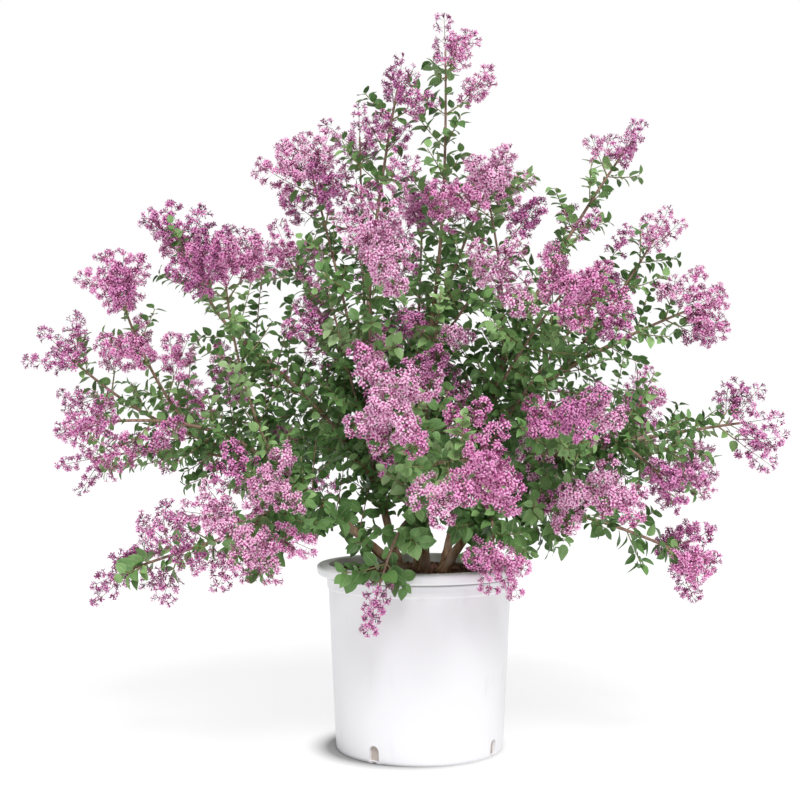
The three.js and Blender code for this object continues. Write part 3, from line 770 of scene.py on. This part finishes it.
def headStyleOf(spray, draw):
    if spray.isHanging:
        return dict(shade="Mauve", each=3.2, gaps=0, budded=0.2)
    # front and inner heads draw paler shades, partly as painted light
    isFront = spray.tip[1] < flowerHead["frontBefore"]
    kind = "frontShares" if isFront else "outerShares" if spray.isOuter else "innerShares"
    shade = draw.choice(list(flowerHead["shades"]), p=flowerHead[kind])
    if spray.isOuter:
        return dict(shade=shade, each=1.7, gaps=0.08, budded=draw.uniform(0.4, 0.9))
    return dict(shade=shade, each=2.7, gaps=0.01, budded=draw.uniform(0.05, 0.6))


def headFits(base, tip, radius, spray, reach, overlap):  # tests points all over a flower head
    side, _, rise = framesAlong((tip - base)[None], up)[0]
    points = [base + (tip - base) * share for share in (0.2, 0.5, 0.8, 1)]
    for share, wide in ((0.25, 1.0), (0.6, 0.85)):
        for turn in np.arange(6) * pi / 3:
            out = cos(turn) * side + sin(turn) * rise
            points.append(base + (tip - base) * share + radius * wide * out)
    return fits(np.array(points), spray, reach, overlap * mm)


# a flower head, and smaller ones splayed about its foot
def growCluster(base, tip, radius, sides, spray, draw):
    h, length = flowerHead, np.linalg.norm(tip - base)
    axis = (tip - base) / length
    style = headStyleOf(spray, draw)
    growHead(base, tip, radius, style, spray, draw)
    for pair, spin in turns(2, draw.uniform(0, pi))[:sides]:
        line = outward(axis, spin, draw.uniform(*h["splay"]))
        root = base + axis * length * h["sideFoot"] * pair
        foot = root + line * length * h["sideFoot"]
        for size in h["sideSizes"]:
            end = foot + line * length * size
            if headFits(foot, end, radius * size, spray, 1.3, h["overlap"]):
                stalk = np.array([root, (root + foot) / 2, foot])
                addTwig(greenShoots, stalk, np.full(3, h["sideStalk"] * mm), 3, spray)
                growHead(foot, end, radius * size, style, spray, draw)
                break


def growSideHead(root, direction, reach, radius, shade, spray, draw):
    base = root + direction * reach * flowerHead["stalk"]
    for size in (1, 0.75):
        tip = base + direction * reach * (1 - flowerHead["stalk"]) * size
        wide = radius * size * draw.uniform(0.9, 1.1)
        if headFits(base, tip, wide, spray, 1.15, shoot["overlap"]):
            stalk = np.array([root, (root + base) / 2, base])
            addTwig(greenShoots, stalk, np.array(flowerHead["stalkRadii"]) * mm, 4, spray)
            growCluster(base, tip, wide, 1, spray, draw)
            for pair, spin in turns(2, draw.uniform(0, pi)):
                line = outward(direction, spin, draw.uniform(0.2, 0.7))
                addLeaf(root + (base - root) * (0.45, 0.95)[pair], line, shade, spray, draw)
            return True
    return False


def growTopHead(limb, radius, spray, draw):  # a small flower head at the tip of a leafy shoot
    chance = np.interp(spray.tip[2], shoot["heights"], shoot["topped"]) * spray.bloom
    if draw.uniform() > chance:
        return
    base = limb.at(0.95)
    tip = base + limb.along(0.95) * flowerHead["length"] * mm * 0.7
    if headFits(base, tip, radius, spray, 1.5, flowerHead["overlap"]):
        growCluster(base, tip, radius, 0, spray, draw)


def growSpray(spray):
    draw = np.random.default_rng(500 + spray.number)
    crown, shoots = shootsOf(spray)
    shares = np.linspace(0, crown + 0.3 * (1 - crown), 14)
    addTwig(woodyTwigs, spray.at(shares), spray.radiusAt(shares), 6, spray)
    headRadius = flowerHead["radius"] * mm * spray.headSize
    base, tip = spray.at(crown), spray.at(1)
    if spray.isHeart:
        shade = leafShadeOf(spray, draw)
        growLeafyShoot(base, unit(tip - base), shoot["heartLength"] * mm, shade, spray, draw)
    else:
        size, sides = (1.2, 0) if spray.isHanging else (0.85, 2) if spray.isOuter else (1.05, 3)
        growCluster(base, tip, headRadius * size, sides, spray, draw)
    gap = np.interp(spray.tip[2], shoot["heights"], shoot["leafGap"])
    if spray.isHanging:
        gap = shoot["hangingGap"]
    count = max(3, int(crown * spray.length / (gap * mm)))
    shade = leafShadeOf(spray, draw)
    for pair, spin in turns(count):  # leaves on the mass's own stem
        share = crown * (pair + 0.7) / count
        line = outward(spray.along(share), spin + draw.normal(0, 0.3), draw.uniform(0.3, 0.9))
        addLeaf(spray.at(share), line, shade, spray, draw)
    for share, spin, lean, reach, flowers in shoots:
        root, along = spray.at(share), spray.along(share)
        shade = leafShadeOf(spray, draw)
        heading = outward(along, spin, lean)
        if flowers and growSideHead(root, heading, reach, headRadius, shade, spray, draw):
            continue
        for turn, size in ((0, 1), (0.6, 1), (-0.6, 1), (0, 0.7), (0.8, 0.7), (-0.8, 0.7)):
            line = outward(along, spin + turn, lean)
            length = draw.uniform(*shoot["length"]) * mm * size
            trail = root + line * length * np.array([0.5, 0.8, 1.15])[:, None]
            if fits(trail, spray, 1.0, shoot["overlap"] * mm):
                grown = growLeafyShoot(root, line, length, shade, spray, draw)
                growTopHead(grown, headRadius * 0.75, spray, draw)
                break


# leafy shoots along the stems and boughs themselves, each given to the mass that it is nearest to
limbShoots = dict(
    start=0.2, boughStart=0.12, gap=19, length=(36, 92), lean=(0.35, 0.95), onBoughs=1.35, bareBelow=300,
    clearance=4,
)


def growLimbShoots(limb, seed):
    draw, s = np.random.default_rng(seed), limbShoots
    bare, stretch = (s["start"], 1) if isinstance(limb, Stem) else (s["boughStart"], s["onBoughs"])
    count = int(limb.length * (1 - bare) / (s["gap"] * mm))
    for node, spin in turns(count):
        share = bare + (1 - bare) * (node + 0.5) / count
        line = outward(limb.along(share), spin + draw.normal(0, 0.3), draw.uniform(*s["lean"]))
        root = limb.at(share)
        if root[2] < s["bareBelow"] * mm and draw.uniform() < 0.5:
            continue
        length = draw.uniform(*s["length"]) * stretch * mm
        for size in (1, 0.7):
            trail = root + line * length * size * np.array([0.55, 0.8, 1.2])[:, None]
            if clearOfPot(trail).all() and limbChains.distances(trail).min() > s["clearance"] * mm:
                owner = sprays[sprayChains.distances(trail[1:2])[0].argmin()]
                shade = leafShadeOf(owner, draw)
                grown = growLeafyShoot(root, line, length * size, shade, owner, draw, woodyTwigs)
                growTopHead(grown, flowerHead["radius"] * mm * 0.8, owner, draw)
                break


for spray in sprays:
    growSpray(spray)
for number, limb in enumerate(limbs.values()):
    growLimbShoots(limb, 900 + number)
print(f"bush: {len(limbs)} limbs, {len(sprays)} masses, {len(buds)} flower heads, {len(leafLot)} leaves")


def buildLeaves():
    roots, lines, lengths, shades, owners, draws = map(np.array, zip(*leafLot))
    draw = np.random.default_rng(71)
    lines = unit(lines - up * draw.uniform(-0.1, 0.35, (len(lines), 1)))
    # the upper face turns up and out of the crown
    hints = unit(up * 0.75 + unit(roots - up / 2) * 0.7 + draw.normal(0, 0.33, roots.shape))
    frames = framesAlong(lines, hints)
    run = lines * (lengths * (1 + leaf["petiole"]))[:, None]
    halves = roots + run * 0.6
    sides = frames[:, 0] * lengths[:, None] * leaf["width"] / 2
    apart = sprayChains.distances(halves)
    keep = apart[np.arange(len(owners)), owners] < apart.min(1) + 0.02
    for points in (roots + run, halves + sides, halves - sides):
        keep &= clearOfPot(points)
    templates = [leafTemplate(draw) for _ in range(leaf["forms"])]
    forms = draw.integers(0, leaf["forms"], len(roots))
    petiole, width = coneTemplate(3), leaf["petioleRadius"] * mm
    sizes = rows(width, lengths * (leaf["petiole"] + 0.02), width)
    piles = {shade: Pile() for shade in leaf["shades"]}
    for spray in sprays:
        mine = keep & (owners == spray.number)
        for shade, pile in piles.items():
            for form, template in enumerate(templates):
                chosen = mine & (shades == shade) & (forms == form)
                pile.stamp(template, roots, frames, lengths, draws, spray.name, chosen)
        greenShoots.stamp(petiole, roots, frames, sizes, draws, spray.name, mine)
    for shade, pile in piles.items():
        finish = leafFinish(f"{shade.lower()} green leaf", *leaf["shades"][shade])
        pile.piece(f"leaves{shade}", finish, "leaves")
    print(f"leaves: {keep.sum()} kept")


def buildBlossom():
    draw = np.random.default_rng(72)
    templates = [corollaTemplate(draw) for _ in range(floret["forms"])]
    tubes = dict(Light=Pile(), Dark=Pile())
    tube, throat = coneTemplate(3), floret["throat"] * mm
    for shade, lots in florets.items():
        pile, tubePile = Pile(), tubes["Light" if shade in ("Pale", "Rosy") else "Dark"]
        for places, ways, node in lots:
            count = len(places)
            lengths = draw.uniform(*floret["tube"], count) * mm
            mouths = places + ways * lengths[:, None]
            frames = framesAlong(ways, unit(draw.normal(0, 1, ways.shape)))
            sizes = draw.uniform(*floret["sizes"], count)
            forms = draw.integers(0, floret["forms"], count)
            tints = draw.uniform(0, 1, count)
            for form, template in enumerate(templates):
                pile.stamp(template, mouths, frames, sizes, tints, node, forms == form)
            tubePile.stamp(tube, places, frames, rows(throat, lengths, throat), tints, node)
        finish = corollaFinish(f"{shade.lower()} lilac floret", *flowerHead["shades"][shade])
        pile.piece(f"florets{shade}", finish, "blossom")
    tubes["Light"].piece("floretTubesLight", tubeFinish("rosy floret tube", "862060", "cc62aa"), "blossom")
    tubes["Dark"].piece("floretTubesDark", tubeFinish("mauve floret tube", "5c1844", "9a4280"), "blossom")
    budPile, club = Pile(), budTemplate()
    for places, ways, node in buds:
        lengths = draw.uniform(*bud["length"], len(places)) * mm
        width = bud["radius"] * mm * draw.uniform(0.75, 1.1, len(places))
        tints = draw.uniform(0, 1, len(places))
        budPile.stamp(club, places, framesAlong(ways, up), rows(width, lengths, width), tints, node)
    budPile.piece("flowerBuds", tubeFinish("lilac bud", "7a3763", "b45f98"), "blossom")


def buildBranchlets():
    starts, ends, names = map(np.array, zip(*branchlets))
    width = flowerHead["branchRadius"] * mm
    sizes = rows(width, np.linalg.norm(ends - starts, axis=1), width)
    frames, draws, cone = framesAlong(ends - starts, up), np.zeros(len(starts)), coneTemplate(3)
    for name in sorted(set(names)):
        flowerStalks.stamp(cone, starts, frames, sizes, draws, name, names == name)
    flowerStalks.piece("flowerStalks", twigFinish("flower stalk", "6f4f45", "8a7a58"), "blossom")


# bark
barkRelief = dict(
    sides=16, step=3.4, ridge=0.055, ridgeLength=4, lump=0.05, lumpLength=14, knotGap=34, knotSwell=0.13,
    knotLength=3.2, root=0.22, rootLength=10, collar=0.35, collarLength=9,
)


def ripple(points, wavelength, seed, waves=7):  # smooth lumps, from about -1 to 1
    draw = np.random.default_rng(seed)
    directions = unit(draw.normal(size=(waves, 3)))
    lengths = wavelength * draw.uniform(0.6, 1.5, waves)
    phases = draw.uniform(0, 2 * pi, waves)
    return np.sin(points @ directions.T * (2 * pi / lengths) + phases).sum(-1) / waves * 1.6


def buildLimb(limb, finish, seed):
    b, sides, rooted = barkRelief, barkRelief["sides"], isinstance(limb, Stem)
    shares = np.linspace(0, 1, int(limb.length / (b["step"] * mm)) + 2)
    centres = limb.at(shares)
    if rooted:  # the foot goes a little way down into the soil
        centres = np.concatenate([centres[:1] - limb.along(0) * growth["sink"] * mm, centres])
        shares = np.concatenate([[0], shares])
    travelled = (shares * limb.length)[:, None]
    angles = np.arange(sides) * 2 * pi / sides
    radii = limb.radiusAt(shares)[:, None] * np.ones(sides)
    skin = rows(np.cos(angles) * radii, np.sin(angles) * radii, travelled * 0.22)
    relief = b["ridge"] * ripple(skin, b["ridgeLength"] * mm, seed)
    relief = relief + b["lump"] * ripple(skin, b["lumpLength"] * mm, seed + 50)
    knots = np.arange(0.6, limb.length / (b["knotGap"] * mm)) * b["knotGap"] * mm
    for index, knot in enumerate(knots):
        near = np.exp(-((travelled - knot) / (b["knotLength"] * mm)) ** 2)
        relief = relief + b["knotSwell"] * near * (0.35 + np.cos(angles - index * quarter) ** 4)
    if rooted:
        roots = np.cos(5 * angles + seed) * 0.5 + 0.5
        relief = relief + b["root"] * roots * np.exp(-travelled / (b["rootLength"] * mm))
    else:
        relief = relief + b["collar"] * np.exp(-travelled / (b["collarLength"] * mm))
    points, faces = tubeMesh(centres, radii * (1 + relief), sides)
    makePiece(f"bark_{limb.name}", points, faces, finish, [limb.name])


# the pot
potShape = dict(
    topRadius=123.5, footRadius=113, corner=6, wall=2.2, floor=3, lip=15.5, collarDrop=31, collarStep=1.8,
    # the last ranges, from the top radius, bound the painted shade and grime in the groove under the lip
    groove=1.9, shadeAndGrime=((3, 2), (-2, -1.5)), segments=144, rounding=4,
)
drain = dict(count=4, first=-32, width=14.5, height=20, sill=4, depth=5, liner=2, scallop=4.5, backing=0.4)


def rounded(corners, cuts, steps):  # an outline whose inner corners are rounded off by the given cuts
    corners = [np.array(corner, float) for corner in corners]
    path = [corners[0]]
    for before, corner, after, cut in zip(corners, corners[1:], corners[2:], cuts):
        start, end = (corner + unit(other - corner) * min(cut, np.linalg.norm(other - corner) * 0.45)
                      for other in (before, after))
        for t in np.linspace(0, 1, steps + 1):
            path.append((1 - t) ** 2 * start + 2 * t * (1 - t) * corner + t * t * end)
    return np.array([*path, corners[-1]]) * mm


def latheMesh(outline, segments):  # turned round Z, from axis to axis
    wide, deep = circle(segments)
    radii, heights = outline[1:-1, :1], outline[1:-1, 1:]
    points = rows(radii * wide, radii * deep, heights).reshape(-1, 3)
    points = np.concatenate([points, [[0, 0, outline[0, 1]], [0, 0, outline[-1, 1]]]])
    last = len(points) - 1
    top, faces = last - 1 - segments, []
    for i in range(segments):
        j = (i + 1) % segments
        faces += [(last - 1, j, i), (last, top + i, top + j)]
        faces += [(a + i, a + j, a + j + segments, a + i + segments) for a in range(0, top, segments)]
    return points, faces


# an upright outline, run outwards through the wall at each drain
def atDrains(outline, inner, outer, level):
    points, faces, n = [], [], len(outline)
    for number in range(drain["count"]):
        heading, foot = radians(drain["first"] + 360 / drain["count"] * number), len(points)
        out = np.array([sin(heading), -cos(heading), 0])
        flat = np.array([np.cross(up, out) * x + up * (z + level) for x, z in outline]) * mm
        points += [*(flat + out * inner * mm), *(flat + out * outer * mm)]
        faces += [tuple(range(foot + n - 1, foot - 1, -1)), tuple(range(foot + n, foot + 2 * n))]
        faces += [(foot + i, foot + (i + 1) % n, foot + n + (i + 1) % n, foot + n + i) for i in range(n)]
    return points, faces


def boxOutline(half, height):
    return [(-half, 0), (half, 0), (half, height), (-half, height)]


def archOutline(width, height, steps=14):
    half = width / 2
    arch = [(half * cos(turn), height - half + half * sin(turn)) for turn in np.linspace(0, pi, steps + 1)]
    return [(-half, 0), (half, 0)] + arch if height > half else arch


def carve(piece, *steps):  # joins and cuts, applied to the piece's own mesh
    for operation, (points, faces) in steps:
        mesh = bpy.data.meshes.new("cutter")
        mesh.from_pydata(points, [], faces)
        modifier = piece.modifiers.new(operation, "BOOLEAN")
        modifier.operation, modifier.object, modifier.solver = operation, place("cutter", mesh), "EXACT"
    carved = bpy.data.meshes.new_from_object(piece.evaluated_get(bpy.context.evaluated_depsgraph_get()))
    cutters = [modifier.object for modifier in piece.modifiers]
    piece.modifiers.clear()
    piece.data = carved
    for cutter in cutters:
        bpy.data.objects.remove(cutter)


def buildPot():
    p, d = potShape, drain
    height, rim = potHigh.z / mm, potHigh.x / mm
    collarBase, lipBase, foot = height - p["collarDrop"], height - p["lip"], p["footRadius"]
    collar, inner = p["topRadius"] + p["collarStep"], p["topRadius"] - p["wall"]
    corners = [
        (0, 0), (foot, 0), (p["topRadius"], collarBase - 1.6), (collar, collarBase),
        (collar + 0.6, lipBase - p["groove"] - 0.6), (collar - 1.6, lipBase - p["groove"]),
        (collar - 1.6, lipBase - 0.1), (rim - 1.8, lipBase + 1.6), (rim, height - 3), (rim - 4.5, height),
        (inner + 1, height - 0.4), (inner - 1, collarBase), (foot - p["wall"], p["floor"]),
        (0, p["floor"]),
    ]
    cuts = (p["corner"], 1.2, 0.7, 1.2, 0.5, 0.5, 3, 4, 3, 2.5, 4, 5)
    points, faces = latheMesh(rounded(corners, cuts, p["rounding"]), p["segments"])
    pot = makePiece("potBody", points, faces, potFinish(), ["pot"])
    back, outside = foot - d["depth"], foot + 6
    box = boxOutline(d["width"] / 2 + d["liner"], d["sill"] + d["height"] + d["liner"] - 1.5)
    arch, scallop = archOutline(d["width"], d["height"]), archOutline(2 * d["scallop"], d["scallop"])
    carve(pot, ("UNION", atDrains(box, back - d["liner"], foot - 1, 1.5)),
          ("DIFFERENCE", atDrains(arch, back, outside, d["sill"])),
          ("DIFFERENCE", atDrains(scallop, back - 1, outside, -d["scallop"] / 3)))
    pot.data.set_sharp_from_angle(angle=radians(32))
    # grey-tan plates over the back of each drain recess: painted shade
    plate = archOutline(d["width"] - 0.2, d["height"] - 0.1)
    points, faces = atDrains(plate, back + 0.02, back + d["backing"], d["sill"] + 0.05)
    plates = makePiece("drainBacks", points, faces, drainShadeFinish(), [])
    plates.data.set_sharp_from_angle(angle=radians(30))
    print(f"pot: {len(pot.data.polygons)} faces")


# the soil
soilShape = dict(rings=46, segments=150, lump=2.2, grain=0.9, heap=3.0, sideGap=0.4)
litter = dict(  # how many, their sizes, how flat they are, and their finish
    soilCrumbs=(1300, (0.8, 3.2), 0.8, ("soil crumbs", "45291e", "7d5748")),
    barkChips=(260, (2.5, 8), 0.25, ("bark chips", "6e4531", "a1765a")),
    paleSpecks=(90, (0.8, 2.0), 0.8, ("pale specks", "a79c8e", "d8d0c4")),
)
litterForms = 6


def soilHeight(x, y):
    s, flat = soilShape, rows(x, y, 0)
    lumps = s["lump"] * ripple(flat, 26 * mm, 5) + s["grain"] * ripple(flat, 6 * mm, 6)
    out = np.hypot(x, y) / (potShape["topRadius"] * mm)
    heap = s["heap"] * np.exp(-(out / 0.55) ** 2)
    return soilHigh.z + (lumps - 1.2 + heap) * mm * np.clip((1.02 - out) * 8, 0.15, 1)


def lumpTemplate(draw, flatness):
    phi = (1 + sqrt(5)) / 2
    points = np.array([
        np.roll((x, y, 0), axis) for axis in range(3) for y in (phi, -phi) for x in (-1, 1)]) / 1.9
    faces = np.array([
        (0, 11, 5), (0, 5, 1), (0, 1, 7), (0, 7, 10), (0, 10, 11), (1, 5, 9), (5, 11, 4), (11, 10, 2),
        (10, 7, 6), (7, 1, 8), (3, 9, 4), (3, 4, 2), (3, 2, 6), (3, 6, 8), (3, 8, 9), (4, 9, 5),
        (2, 4, 11), (6, 2, 10), (8, 6, 7), (9, 8, 1)])
    points = points * draw.uniform(0.65, 1.25, (12, 1)) * (1, 1, flatness)
    return points, faces, np.zeros_like(points)


def buildSoil():
    p, s, d = potShape, soilShape, drain
    clear, top = p["wall"] + s["sideGap"], soilHigh.z / mm
    outer = p["topRadius"] - clear - 1.2
    outline = [(0, p["floor"] + 0.3), (p["footRadius"] - clear - 6, p["floor"] + 0.3),
               (p["footRadius"] - clear - 1, p["floor"] + 7), (outer - 0.4, top - 32)]
    outline += [(radius, top) for radius in np.linspace(0, outer, s["rings"] + 1)[::-1]]
    points, faces = latheMesh(np.array(outline) * mm, s["segments"])
    high = points[:, 2] > soilHigh.z - mm
    points[high, 2] = soilHeight(points[high, 0], points[high, 1])
    soil = makePiece("soilBody", points, faces, soilFinish(), ["soil"])
    box = boxOutline(d["width"] / 2 + d["liner"] + 0.4, d["sill"] + d["height"] + d["liner"])
    back = p["footRadius"] - d["depth"] - d["liner"] - 0.4
    carve(soil, ("DIFFERENCE", atDrains(box, back, p["footRadius"], 0)))  # room for the drains' liners
    soil.data.shade_smooth()
    print(f"soil: {len(soil.data.polygons)} faces")

    for seed, (name, (count, (least, most), flatness, look)) in enumerate(litter.items(), 81):
        draw, pile, number = np.random.default_rng(seed), Pile(), count // litterForms
        for _ in range(litterForms):
            out = np.sqrt(draw.uniform(0, 1, number)) * (outer - 2) * mm
            turn = draw.uniform(0, 2 * pi, number)
            x, y = out * np.cos(turn), out * np.sin(turn)
            size = draw.uniform(0, 1, number) ** 2 * (most - least) + least
            spots = rows(x, y, soilHeight(x, y) + size * flatness * 0.2 * mm)
            tilt = unit(up + draw.normal(0, 0.35, (number, 3)))
            frames = framesAlong(unit(np.cross(tilt, draw.normal(0, 1, (number, 3)))), tilt)
            scale = rows(size * 0.5, size * draw.uniform(0.45, 0.75, number), size * 0.5) * mm
            template = lumpTemplate(draw, flatness)
            pile.stamp(template, spots, frames, scale, draw.uniform(0, 1, number), "soil")
        pile.piece(name, chipFinish(*look), "soil")


buildStudio()
print("studio: camera, lights and floor")
buildPot()
buildSoil()
bark = barkFinish()
for seed, limb in enumerate(limbs.values()):
    buildLimb(limb, bark, seed)
print(f"bark: {len(limbs)} limbs dressed")
buildLeaves()
buildBlossom()
buildBranchlets()
woodyTwigs.piece("woodyTwigs", twigFinish("brown twig", "7b5f50", "b09280"), "bark")
greenShoots.piece("greenShoots", twigFinish("green shoot", "7f8a56", "b3a277"), "leaves")
